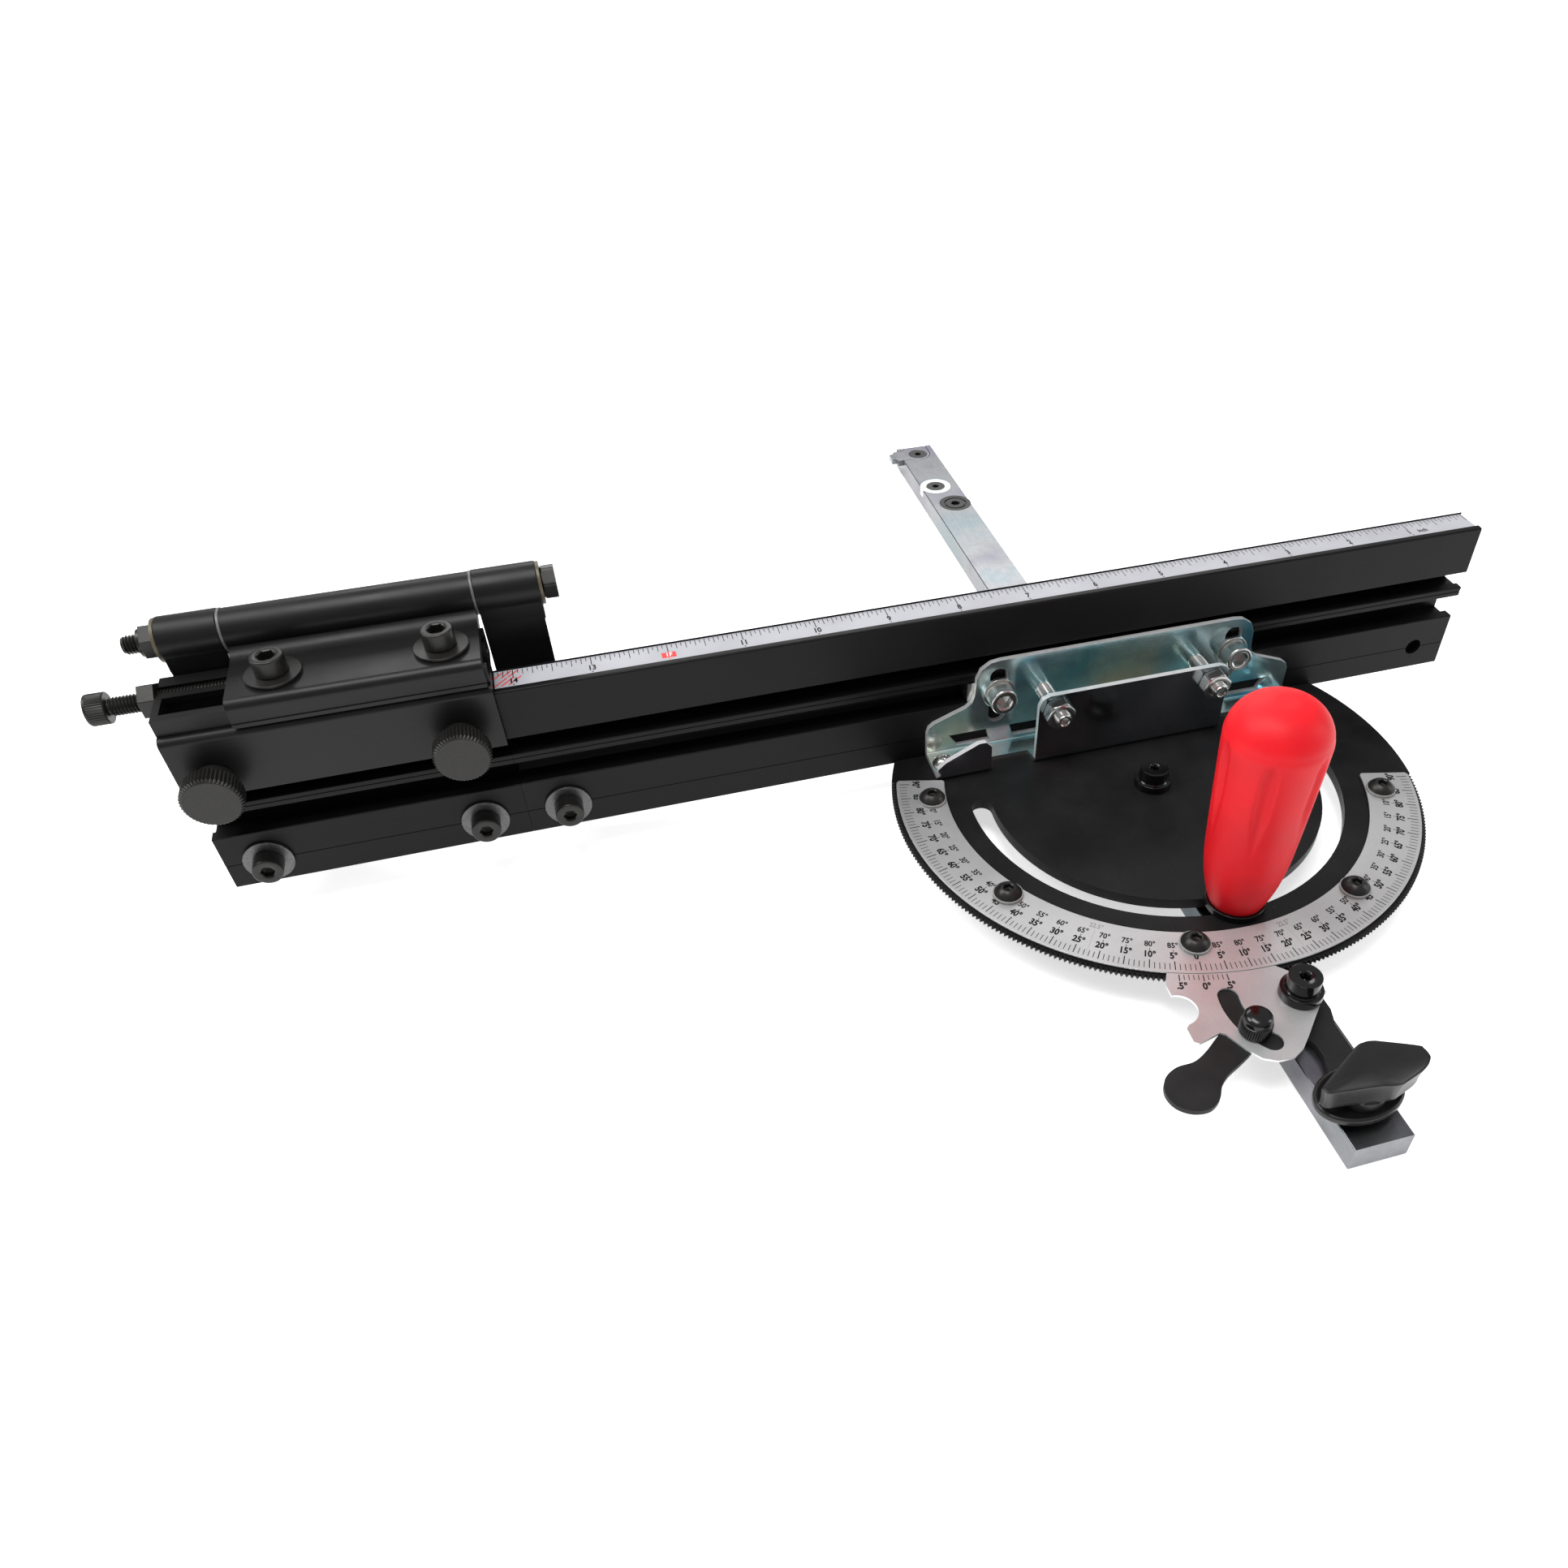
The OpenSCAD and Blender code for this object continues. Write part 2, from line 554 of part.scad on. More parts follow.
// --------------------------------------------------- handle and knobs
module handle_grip() color(red) translate([0, -arc_r, plate_top + 2.6]) difference() {
  k = grip_d / 2;
  h = grip_h;
  rotate_extrude($fn = 96) polygon(concat(
    [[0, 0], [0.56 * k, 0], [0.6 * k, 0.02 * h], [0.69 * k, 0.08 * h],
     [0.77 * k, 0.15 * h], [0.84 * k, 0.25 * h], [0.88 * k, 0.36 * h],
     [0.92 * k, 0.5 * h], [0.96 * k, 0.66 * h], [0.985 * k, 0.76 * h]],
    [for (a = [0:6:90]) [k * pow(cos(a), 0.72), h * (0.84 + 0.16 * pow(sin(a), 1.1))]]));
  translate([0, 0, -1]) cylinder(d = stud_d + 0.1, h = 56);
  for (a = [57:60:357]) rotate(a) translate([k * 1.1, 0, 0]) rotate([0, 1.6, 0]) {
    translate([0, 0, 0.42 * h]) cylinder(r = 0.17 * k, h = 0.36 * h);
    translate([0, 0, 0.42 * h]) sphere(r = 0.17 * k);
    translate([0, 0, 0.78 * h]) sphere(r = 0.17 * k);
  }
}
module handle_collar() color(oxide) translate([0, -arc_r, plate_top + 0.1])
  tube(10, stud_d / 2 + fine, 2.5);
module wing_knob_outline() polygon([
  [-16.3, -3.4], [-15.3, -5.1], [-9.6, -6], [-1.3, -6.9], [2.5, -7.7], [4.9, -7.9],
  [7, -7.5], [14.2, -5], [17.6, -2.4], [18.2, -0.6], [17.9, 1.4], [16.9, 2.7],
  [8.3, 6.7], [5.5, 7.8], [2.8, 8], [-1.2, 6.7], [-15.5, -2.1]]);
module oval(a, b) { polygon([for (t = [0:5:355]) [a * cos(t), b * sin(t)]]); }
module wing_knob() color(black) translate([wing_x, wing_y, 2.9]) difference() {
  union() {
    rotate(5.6) {
      linear_extrude(2) oval(14.2, 9.6);
      linear_extrude(2.6) oval(13.6, 9);
    }
    cylinder(r = 7.5, h = 6.6);
    translate([0, 0, 6.3]) linear_extrude(8, scale = 1.08) scale(0.926)
      wing_knob_outline();
  }
  translate([0, 0, -1]) cylinder(r = 3 + fine, h = 9);
}
module wing_knob_stud() color(steel)
  translate([wing_x, wing_y, -8.8]) cylinder(r = 3, h = 19.4);

miter_bar();
bar_guide_plate();
guide_plate_screw();
expansion_washer();
expansion_screw();
expansion_disc();
pivot_boss();
index_base();
vernier_plate();
vernier_boss();
clamp_stud();
protractor_plate();
degree_scale();
scale_screws();
scale_washers();
fence_bracket();
bracket_screws();
fence_screws();
fence_screw_washers();
fence_slot_nuts();
tilt_set_screws();
tilt_lock_nuts();
main_fence();
fence_tape();
fence_lock_screw();
fence_lock_washer();
extension_fence();
extension_rail();
extension_screws();
extension_washers();
stop_base();
micro_adjust_nut();
stop_knob_left();
stop_knob_right();
stop_carrier();
carrier_screws();
carrier_washers();
carrier_slot_nuts();
hinge_bolt();
hinge_nut();
hinge_spacers();
hinge_end_washers();
micro_adjust_screw();
flip_arm_left();
flip_arm_right();
handle_grip();
handle_collar();
wing_knob();
wing_knob_stud();
index_lever();
lever_lock_screw();
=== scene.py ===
"""Looks of the miter gauge: finishes, rounded edges, threads, knurls and scales.

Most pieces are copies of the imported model's meshes. Screws, knobs, the grip and
the lever are rebuilt here, at places that repeat the CAD's. Lengths are written
in millimetres and turned into metres when a mesh is made.
"""
import json
import math

import bmesh
import bpy
from mathutils import Matrix, Vector


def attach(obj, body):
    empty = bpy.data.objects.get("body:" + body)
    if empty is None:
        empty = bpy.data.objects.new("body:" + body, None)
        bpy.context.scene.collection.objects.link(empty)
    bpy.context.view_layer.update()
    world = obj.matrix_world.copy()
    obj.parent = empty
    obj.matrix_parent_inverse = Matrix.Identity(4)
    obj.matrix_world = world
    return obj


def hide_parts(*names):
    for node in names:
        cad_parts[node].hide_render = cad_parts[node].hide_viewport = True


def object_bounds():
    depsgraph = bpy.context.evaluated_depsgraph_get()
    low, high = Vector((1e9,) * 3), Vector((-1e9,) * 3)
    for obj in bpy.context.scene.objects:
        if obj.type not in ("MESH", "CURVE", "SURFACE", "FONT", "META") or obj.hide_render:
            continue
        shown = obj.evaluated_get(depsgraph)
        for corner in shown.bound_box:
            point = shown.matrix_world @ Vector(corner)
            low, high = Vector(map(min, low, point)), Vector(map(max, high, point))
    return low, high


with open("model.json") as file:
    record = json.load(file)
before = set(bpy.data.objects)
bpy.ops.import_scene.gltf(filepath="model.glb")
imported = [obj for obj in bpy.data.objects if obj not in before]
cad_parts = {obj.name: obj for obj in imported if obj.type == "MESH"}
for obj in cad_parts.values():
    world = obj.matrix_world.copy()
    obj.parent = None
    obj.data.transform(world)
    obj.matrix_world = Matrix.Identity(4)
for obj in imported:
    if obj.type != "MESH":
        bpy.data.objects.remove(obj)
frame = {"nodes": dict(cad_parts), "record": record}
cad_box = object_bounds()
NODES = frame["nodes"]
BODY = {n: b for b, ns in frame["record"]["behaviour"]["bodies"].items() for n in ns}
SLOT = {s["node"]: s["material_slot"] for s in frame["record"]["subparts"]}
MM = 0.001
TAU = 2 * math.pi
INDEX = -15.25  # degrees from the bar to the index line
INCH = 25.4
UP, USER, LEFT = (0, 0, 1), (0, -1, 0), (-1, 0, 0)

# ------------------------------------------------------------- finishes


def shader(name, base, rough, metallic=0.0, **more):
    m = bpy.data.materials.new(name)
    m.use_nodes = True
    b = m.node_tree.nodes["Principled BSDF"]
    b.inputs["Base Color"].default_value = (*base, 1)
    b.inputs["Roughness"].default_value = rough
    b.inputs["Metallic"].default_value = metallic
    for key, value in more.items():
        b.inputs[key.replace("_", " ")].default_value = value
    return m


def add(m, kind, **values):
    n = m.node_tree.nodes.new(kind)
    for key, value in values.items():
        if key in n.inputs:
            n.inputs[key].default_value = value
        else:
            setattr(n, key, value)
    return n


def link(m, out, node, key):
    m.node_tree.links.new(out, node.inputs[key])


def field(m, scale, stretch=(1, 1, 1), detail=3.0, grain=0.55, kind="ShaderNodeTexNoise"):
    """Noise in the object's own coordinates, scale in cells per metre."""
    place = add(m, "ShaderNodeTexCoord")
    turn = add(m, "ShaderNodeMapping")
    turn.inputs["Scale"].default_value = stretch
    link(m, place.outputs["Object"], turn, "Vector")
    n = add(m, kind, Scale=scale)
    if kind == "ShaderNodeTexNoise":
        n.inputs["Detail"].default_value = detail
        n.inputs["Roughness"].default_value = grain
    link(m, turn.outputs["Vector"], n, "Vector")
    return n


def ramp(m, value, stops, ease="LINEAR"):
    r = add(m, "ShaderNodeValToRGB")
    r.color_ramp.interpolation = ease
    e = r.color_ramp.elements
    while len(e) < len(stops):
        e.new(0.5)
    for k, (pos, col) in enumerate(stops):
        e[k].position = pos
        e[k].color = (*col, 1) if len(col) == 3 else (col[0],) * 3 + (1,)
    link(m, value, r, "Fac")
    return r.outputs["Color"]


def step_up(m, value, start, end, low=0.0, high=1.0):
    """A grey ramp, low at start and high at end."""
    return ramp(m, value, [(start, (low,)), (end, (high,))])


def mix(m, fac, a, b, blend="MIX"):
    n = add(m, "ShaderNodeMix", data_type="RGBA", blend_type=blend)
    for key, value in (("Factor", fac), ("A", a), ("B", b)):
        sock = [s for s in n.inputs if s.name == key and s.enabled][0]
        if isinstance(value, bpy.types.NodeSocket):
            m.node_tree.links.new(value, sock)
        else:
            sock.default_value = value if key == "Factor" else (*value, 1)
    return [s for s in n.outputs if s.enabled][0]


def drive(m, out, key):
    link(m, out, m.node_tree.nodes["Principled BSDF"], key)


def bump(m, *layers):
    """Each layer is (height socket, depth in mm)."""
    last = None
    for height, depth in layers:
        n = add(m, "ShaderNodeBump", Strength=1.0, Distance=depth * MM)
        link(m, height, n, "Height")
        if last:
            link(m, last, n, "Normal")
        last = n.outputs["Normal"]
    drive(m, last, "Normal")


def rough_range(m, value, lo, hi):
    drive(m, step_up(m, value, 0.3, 0.7, lo, hi), "Roughness")


def zinc(name, deep, light, violet, streak, rough=(0.2, 0.34), metal=1.0, line=0.0012):
    m = shader(name, light, 0.3, metal)
    cloud = field(m, 26, detail=2).outputs["Fac"]
    tint = ramp(m, cloud, [(0.3, deep), (0.5, light), (0.7, violet)], "EASE")
    patch = field(m, 260, detail=4).outputs["Fac"]
    lines = field(m, 1, streak, detail=3).outputs["Fac"]
    tint = mix(m, 0.16, tint, step_up(m, patch, 0.35, 0.65, 0.45), "MULTIPLY")
    tint = mix(m, 0.14, tint, step_up(m, lines, 0.35, 0.65, 0.5), "MULTIPLY")
    drive(m, tint, "Base Color")
    rough_range(m, cloud, *rough)
    bump(m, (lines, line))
    return m


def black_coat(name, base, rough, fleck=0.0, grain=1800, depth=0.012, shine=0.3):
    m = shader(name, base, rough, Specular_IOR_Level=shine)
    peel = field(m, grain, detail=2).outputs["Fac"]
    cloud = field(m, 70, detail=3).outputs["Fac"]
    tone = mix(m, step_up(m, cloud, 0.35, 0.7),
               tuple(0.8 * c for c in base), tuple(1.35 * c for c in base))
    if fleck:
        cell = field(m, 1500, kind="ShaderNodeTexVoronoi")
        dot = step_up(m, cell.outputs["Distance"], 0.0, 0.16, 1.0, 0.0)
        pick = step_up(m, field(m, 900, detail=1).outputs["Fac"], 0.62, 0.7)
        dot = mix(m, 1.0, dot, pick, "MULTIPLY")
        tone = mix(m, dot, tone, (fleck, fleck, fleck))
    drive(m, tone, "Base Color")
    rough_range(m, cloud, rough - 0.05, rough + 0.06)
    bump(m, (peel, depth))
    return m


def brushed(name, base, rough, metallic, streak, depth=0.004, tone=0.2, shine=0.5):
    m = shader(name, base, rough, metallic, Specular_IOR_Level=shine)
    lines = field(m, 1, streak, detail=5, grain=0.7).outputs["Fac"]
    cloud = field(m, 45, detail=3).outputs["Fac"]
    col = mix(m, step_up(m, lines, 0.3, 0.7),
              tuple((1 - tone) * c for c in base), tuple(min(1, (1 + tone) * c) for c in base))
    drive(m, mix(m, 0.25, col, step_up(m, cloud, 0.35, 0.65, 0.75), "MULTIPLY"),
          "Base Color")
    rough_range(m, cloud, rough - 0.05, rough + 0.06)
    bump(m, (lines, depth), (field(m, 2600, detail=2).outputs["Fac"], depth))
    return m


def plastic(name, base, rough, grain, depth, soft=0.0, coat=0.0, shine=0.5):
    m = shader(name, base, rough, Specular_IOR_Level=shine)
    b = m.node_tree.nodes["Principled BSDF"]
    b.inputs["Subsurface Weight"].default_value = soft
    b.inputs["Subsurface Scale"].default_value = 0.004
    b.inputs["Coat Weight"].default_value = coat
    b.inputs["Coat Roughness"].default_value = 0.3
    tone = field(m, 60, detail=2).outputs["Fac"]
    drive(m, mix(m, step_up(m, tone, 0.35, 0.65),
                 tuple(0.93 * c for c in base), tuple(min(1, 1.05 * c) for c in base)), "Base Color")
    rough_range(m, tone, rough - 0.04, rough + 0.04)
    bump(m, (field(m, grain, detail=3).outputs["Fac"], depth))
    return m


BAR = zinc("bar_zinc", (0.15, 0.19, 0.205), (0.22, 0.225, 0.235), (0.19, 0.18, 0.22),
           (900, 60, 900))
SHEET = zinc("sheet_zinc", (0.18, 0.58, 0.76), (0.62, 0.82, 0.84), (0.88, 0.84, 0.72),
             (60, 500, 500), (0.14, 0.24), 0.94, 0.0004)
# PANEL_REFLECTION: a darker copy of the bracket's zinc for the front panel, a painted reflection
# standing in for what that face mirrors
PANEL_REFLECTION = zinc("panel_painted_reflection", (0.24, 0.29, 0.31), (0.42, 0.45, 0.47), (0.52, 0.50, 0.54),
             (60, 500, 500), (0.12, 0.22), 1.0, 0.0004)
# EDGE_HIGHLIGHT: a near-white copy of the zinc for cut edges and thickness faces, a painted
# highlight where lamps catch the thin faces
EDGE_HIGHLIGHT = zinc("painted_edge_highlight", (0.86, 0.93, 0.95), (0.95, 0.96, 0.96), (0.92, 0.9, 0.92),
            (500, 60, 500), (0.4, 0.5), 0.6)
SCREW = zinc("screw_zinc", (0.50, 0.52, 0.51), (0.62, 0.62, 0.60), (0.56, 0.54, 0.55),
             (600, 600, 600), (0.22, 0.32))
POWDER = black_coat("powder_black", (0.0075, 0.0075, 0.008), 0.42, fleck=0.2, shine=0.16)
LEVER = black_coat("lever_black", (0.011, 0.011, 0.0112), 0.5, grain=2600, depth=0.008, shine=0.2)
GLOSS = black_coat("gloss_black", (0.004, 0.004, 0.004), 0.14, grain=700, depth=0.002, shine=0.4)
OXIDE = brushed("black_oxide", (0.02, 0.019, 0.018), 0.36, 0.4, (900, 900, 900), 0.002, 0.15, 0.4)
ANODISED = brushed("anodised_black", (0.006, 0.006, 0.0062), 0.38, 0.0, (25, 2200, 2200),
                   0.002, 0.12, 0.13)
SATIN = brushed("anodised_satin", (0.007, 0.0072, 0.007), 0.36, 0.0, (60, 1500, 1500), 0.003,
                0.15, 0.22)
SCALE = brushed("scale_satin", (0.52, 0.52, 0.525), 0.36, 0.6, (1500, 1500, 1500), 0.001, 0.05)
STEEL = brushed("dark_steel", (0.11, 0.11, 0.112), 0.34, 0.9, (1200, 1200, 1200), 0.003, 0.3)
TAPE = plastic("rule_tape", (0.40, 0.40, 0.43), 0.55, 900, 0.001, shine=0.2)
NYLON = plastic("white_nylon", (0.86, 0.86, 0.84), 0.38, 1500, 0.004, soft=0.3)
CLEAR = plastic("pale_washer", (0.27, 0.27, 0.265), 0.3, 1500, 0.003, soft=0.1)
GREY = plastic("grey_washer", (0.11, 0.11, 0.108), 0.35, 1500, 0.003)
YELLOW = plastic("aged_washer", (0.09, 0.073, 0.04), 0.4, 1500, 0.004)
RED = plastic("grip_red", (0.70, 0.005, 0.012), 0.5, 1400, 0.006, soft=0.06, shine=0.26)
BLACK = plastic("moulded_black", (0.009, 0.009, 0.0092), 0.34, 1700, 0.006, shine=0.36)


def ink(name, base, rough, lo, hi, **more):
    m = shader(name, base, rough, **more)
    rough_range(m, field(m, 3000).outputs["Fac"], lo, hi)
    return m


INK = ink("ink_black", (0.012, 0.012, 0.013), 0.6, 0.5, 0.6, Specular_IOR_Level=0.15)
FADED = ink("ink_grey", (0.24, 0.24, 0.24), 0.55, 0.5, 0.6)
RED_INK = ink("ink_red", (0.72, 0.02, 0.015), 0.5, 0.45, 0.55)
WHITE_INK = ink("ink_white", (0.8, 0.8, 0.8), 0.5, 0.45, 0.55)

# --------------------------------------------------------- mesh helpers


def place(name, bm, mats, body, slot, *stands_for, flat=36, weigh=True):
    me = bpy.data.meshes.new(name)
    bm.to_mesh(me)
    bm.free()
    for m in mats if isinstance(mats, (list, tuple)) else [mats]:
        me.materials.append(m)
    me.shade_smooth()
    me.set_sharp_from_angle(angle=math.radians(flat))
    ob = bpy.data.objects.new(name, me)
    bpy.context.scene.collection.objects.link(ob)
    if weigh:
        w = ob.modifiers.new("normals", "WEIGHTED_NORMAL")
        w.keep_sharp = True
    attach(ob, body)
    if stands_for:
        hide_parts(*stands_for)
    return ob


def piece(node, bm, mats, flat=36, weigh=True):
    """The visible piece that stands for a CAD node."""
    return place(node + "_look", bm, mats, BODY[node], SLOT[node], node, flat=flat, weigh=weigh)


WELD = 2e-6  # metres
SAME_PLANE = math.radians(0.3)
SHARP = math.radians(35)


def cad_mesh(node):
    """A CAD node's mesh, with its vertices welded and its flat faces joined."""
    bm = bmesh.new()
    bm.from_mesh(NODES[node].data)
    for f in bm.faces:
        f.material_index = 0
    bmesh.ops.remove_doubles(bm, verts=bm.verts, dist=WELD)
    bmesh.ops.dissolve_limit(bm, angle_limit=SAME_PLANE, verts=bm.verts, edges=bm.edges)
    return bm


def soften(bm, size, steps=2, test=None):
    """Rounds the sharp edges that test picks."""
    def wanted(e):
        if len(e.link_faces) != 2 or e.calc_face_angle(0) < SHARP:
            return False
        a, b = (v.co / MM for v in e.verts)
        return test is None or test(a, b)
    edges = [e for e in bm.edges if wanted(e)]
    if edges:
        bmesh.ops.bevel(bm, geom=edges, offset=size * MM, offset_type="OFFSET", segments=steps,
                        profile=0.5, affect="EDGES", clamp_overlap=True)


def refine(node, mat, size, steps=2, picks=()):
    """A copy of a CAD node with rounded edges."""
    bm = cad_mesh(node)
    for test, r, n in picks:
        soften(bm, r, n, test)
    soften(bm, size, steps)
    return piece(node, bm, mat)


def along(*yz):
    """Picks edges that run along X through any of these (y, z)."""
    def near(p, y, z):
        return abs(p.y - y) < 0.02 and abs(p.z - z) < 0.02

    def test(a, b):
        return any(near(a, y, z) for y, z in yz) and near(a, b.y, b.z)
    return test


def surface(bm, n_rows, n_cols, point, loop=False):
    """A tube of points, closed round the columns, capped at both ends or joined up."""
    rows = [[bm.verts.new(Vector(point(i, j)) * MM) for j in range(n_cols)] for i in range(n_rows)]
    for i in range(n_rows if loop else n_rows - 1):
        for j in range(n_cols):
            k, n = (j + 1) % n_cols, (i + 1) % n_rows
            bm.faces.new((rows[i][j], rows[i][k], rows[n][k], rows[n][j]))
    if not loop:
        bm.faces.new(list(reversed(rows[0])))
        bm.faces.new(rows[-1])


def frame_at(p, axis):
    """Turns (x, y, z) with z along axis into the row frame."""
    z = Vector(axis).normalized()
    x = Vector((1, 0, 0)) if abs(z.x) < 0.9 else Vector((0, 1, 0))
    y = z.cross(x)
    p = Vector(p)
    return lambda a, b, c: p + a * x + b * y + c * z


def turned(bm, p, axis, rings, cols, loop=False):
    """A turned part. rings: (z, radius), where radius may be a function of the angle."""
    to = frame_at(p, axis)

    def point(i, j):
        z, r = rings[i]
        a = TAU * j / cols
        q = r(a) if callable(r) else r
        return to(q * math.cos(a), q * math.sin(a), z)
    surface(bm, len(rings), cols, point, loop)


def hexagon(af, turn=0.0):
    def radius(a):
        w = (a - turn) % (math.pi / 3) - math.pi / 6
        return af / 2 / math.cos(w)
    return radius


def hex_body(bm, p, axis, af, h, bore=0.0, turn=0.0):
    """A bolt head, or a nut when it has a bore, its corners cut by a cone."""
    six = hexagon(af, turn)

    def cut(z):
        room = min(h - z, z) if bore else h - z
        return lambda a: min(six(a), 0.475 * af + 1.5 * room)
    zs = [0, 0.12, 0.25, 0.4, 0.55, h - 0.55, h - 0.4, h - 0.25, h - 0.12, h]
    rings = [(z, cut(z)) for z in zs]
    if bore:
        rings = [(0.5, bore), (0, bore + 0.45)] + rings + [(h, bore + 0.45), (h - 0.5, bore)]
    turned(bm, p, axis, rings, 96, bool(bore))


def thread(bm, p, axis, length, key=0.0):
    """An M6 thread from p along axis, its ends faded out. key cuts a hex socket."""
    r, pitch, depth, rings_per_turn, cols = 3, 1.0, 0.6, 8, 30
    n = int(length / pitch * rings_per_turn)
    rings = []
    for i in range(n + 1):
        z = length * i / n

        def radius(a, z=z):
            w = (z / pitch - a / TAU) % 1.0
            tooth = min(1.0, max(0.0, 2.6 * abs(w - 0.5) - 0.15))
            near = min(1.0, min(z, length - z) / (0.9 * pitch))
            return r - depth * (tooth if near >= 1 else 1 - (1 - tooth) * near)
        rings.append((z, radius))
    if key:
        six = hexagon(key)
        rings += [(length, r - 1.0), (length, 0.62 * key), (length - 0.25, six),
                  (length - 2.4, six)]
    turned(bm, p, axis, rings, cols)


def knurled(bm, p, axis, profile, ridges, depth):
    """A turned part whose rim has ridges. profile: (z, radius, share of the depth)."""
    to = frame_at(p, axis)
    cols_per_ridge = 6
    cols = ridges * cols_per_ridge

    def point(i, j):
        z, r, share = profile[i]
        w = abs((j / cols_per_ridge) % 1.0 - 0.5) * 2
        q = r - depth * share * (w ** 1.5)
        a = TAU * j / cols
        return to(q * math.cos(a), q * math.sin(a), z)
    surface(bm, len(profile), cols, point)


def cap_screw(bm, p, axis, d, head, h, length, key, knurl=0, dome=False):
    """A socket screw seated at p: recess with a lead-in, rounded rim, plain shank."""
    r, corner, six = head / 2, 0.577 * key, hexagon(key)
    if dome:
        ball = (r * r + h * h) / (2 * h)
        rings = [(0, r - 0.15), (0.15, r)]
        for k in range(1, 15):
            q = r - (r - 1.25 * corner) * k / 15
            rings.append((max(h - ball + math.sqrt(ball * ball - q * q), 0.16), q))
    else:
        rings = [(0, r - 0.3), (0.25, r), (0.3, r), (h - 1.0, r), (h - 0.9, r), (h - 0.55, r),
                 (h - 0.25, r - 0.09), (h - 0.07, r - 0.28), (h, r - 0.55)]
    top = rings[-1][0]
    rings += [(top, 1.12 * corner), (top - 0.1, 1.04 * corner), (top - 0.35, six),
              (top - 0.6 * key, six), (top - 0.6 * key - 0.3, 0.5 * corner)]
    cols = knurl * 4 if knurl else 96

    def rim(a):
        return r - 0.2 * (abs((a * knurl / TAU) % 1.0 - 0.5) * 2)
    if knurl:
        rings = [(z, rim if q == r and 0.28 < z < h - 0.95 else q) for z, q in rings]
    turned(bm, p, axis, rings, cols)
    low = Vector(p) - Vector(axis).normalized() * length
    turned(bm, low, axis, [(0, d / 2 - 0.3), (0.3, d / 2), (length + 0.1, d / 2)], 40)


def strip(bm, a, b, width, z, mat=0):
    """A printed line from a to b, flat at height z."""
    a, b = Vector(a), Vector(b)
    s = (b - a).normalized()
    s = Vector((-s.y, s.x)) * width / 2
    vs = [bm.verts.new(Vector((*q, z)) * MM) for q in (a - s, b - s, b + s, a + s)]
    f = bm.faces.new(vs)
    f.material_index = mat
    if f.normal.z < 0:
        f.normal_flip()


def label(bm, text, size, x, y, z, turn=0.0, squeeze=1.0, mat=0, bold=0.0):
    """Flat lettering centred on (x, y), turned by degrees, cap height about 0.7 of size."""
    cu = bpy.data.curves.new("t", "FONT")
    cu.body = text
    cu.size = size
    cu.offset = bold
    cu.align_x, cu.align_y = "CENTER", "CENTER"
    cu.resolution_u = 3
    ob = bpy.data.objects.new("t", cu)
    me = bpy.data.meshes.new_from_object(ob)
    me.transform(Matrix.Translation((x * MM, y * MM, z * MM))
                 @ Matrix.Rotation(math.radians(turn), 4, "Z")
                 @ Matrix.Diagonal((squeeze * MM, MM, MM, 1)))
    me.polygons.foreach_set("material_index", [mat] * len(me.polygons))
    bm.from_mesh(me)
    bpy.data.objects.remove(ob)
    bpy.data.curves.remove(cu)
    bpy.data.meshes.remove(me)


def pol(r, a):
    a = math.radians(a)
    return r * math.sin(a), -r * math.cos(a)


def between(p0, p1, p2, p3, f):
    """The point at share f from p1 to p2 on the spline through the four points."""
    return 0.5 * (2 * p1 + (p2 - p0) * f + (2 * p0 - 5 * p1 + 4 * p2 - p3) * f * f
                  + (3 * p1 - p0 - 3 * p2 + p3) * f ** 3)


def smooth_loop(points, n):
    """A closed spline through points, as n points."""
    m, out = len(points), []
    for k in range(n):
        t = k * m / n
        i, f = int(t), t - int(t)
        out.append(between(*(Vector(points[(i + d) % m]) for d in (-1, 0, 1, 2)), f))
    return out


# ------------------------------------------------------ camera and light
cam = bpy.data.objects.new("camera", bpy.data.cameras.new("camera"))
bpy.context.scene.collection.objects.link(cam)
cam.location = (-0.18258, -0.30467, 0.29076)
cam.rotation_euler = [math.radians(a) for a in (45.3568, 0.7835, -15.8119)]
cam.data.sensor_width = 36
cam.data.lens = 27.914
cam.data.shift_x, cam.data.shift_y = -0.06594, 0.06807
cam.data.clip_start, cam.data.clip_end = 0.01, 50
bpy.context.scene.camera = cam
bpy.context.scene.view_settings.view_transform = "Standard"

world = bpy.data.worlds.new("studio")
bpy.context.scene.world = world
world.use_nodes = True
tree = world.node_tree
sky = tree.nodes["Background"]
where = tree.nodes.new("ShaderNodeTexCoord")
part = tree.nodes.new("ShaderNodeSeparateXYZ")
tree.links.new(where.outputs["Generated"], part.inputs[0])
dome = tree.nodes.new("ShaderNodeValToRGB")
stops = dome.color_ramp.elements
stops[0].position, stops[0].color = 0.0, (0.30, 0.30, 0.31, 1)
stops[1].position, stops[1].color = 0.75, (0.95, 0.95, 0.95, 1)
tree.links.new(part.outputs["Z"], dome.inputs["Fac"])
tree.links.new(dome.outputs["Color"], sky.inputs["Color"])
sky.inputs["Strength"].default_value = 0.55
# camera rays see plain white behind the object; light and reflections use the dome
pale = tree.nodes.new("ShaderNodeBackground")
pale.inputs["Color"].default_value = (1, 1, 1, 1)
seen = tree.nodes.new("ShaderNodeLightPath")
both = tree.nodes.new("ShaderNodeMixShader")
tree.links.new(seen.outputs["Is Camera Ray"], both.inputs[0])
tree.links.new(sky.outputs[0], both.inputs[1])
tree.links.new(pale.outputs[0], both.inputs[2])
tree.links.new(both.outputs[0], tree.nodes["World Output"].inputs["Surface"])


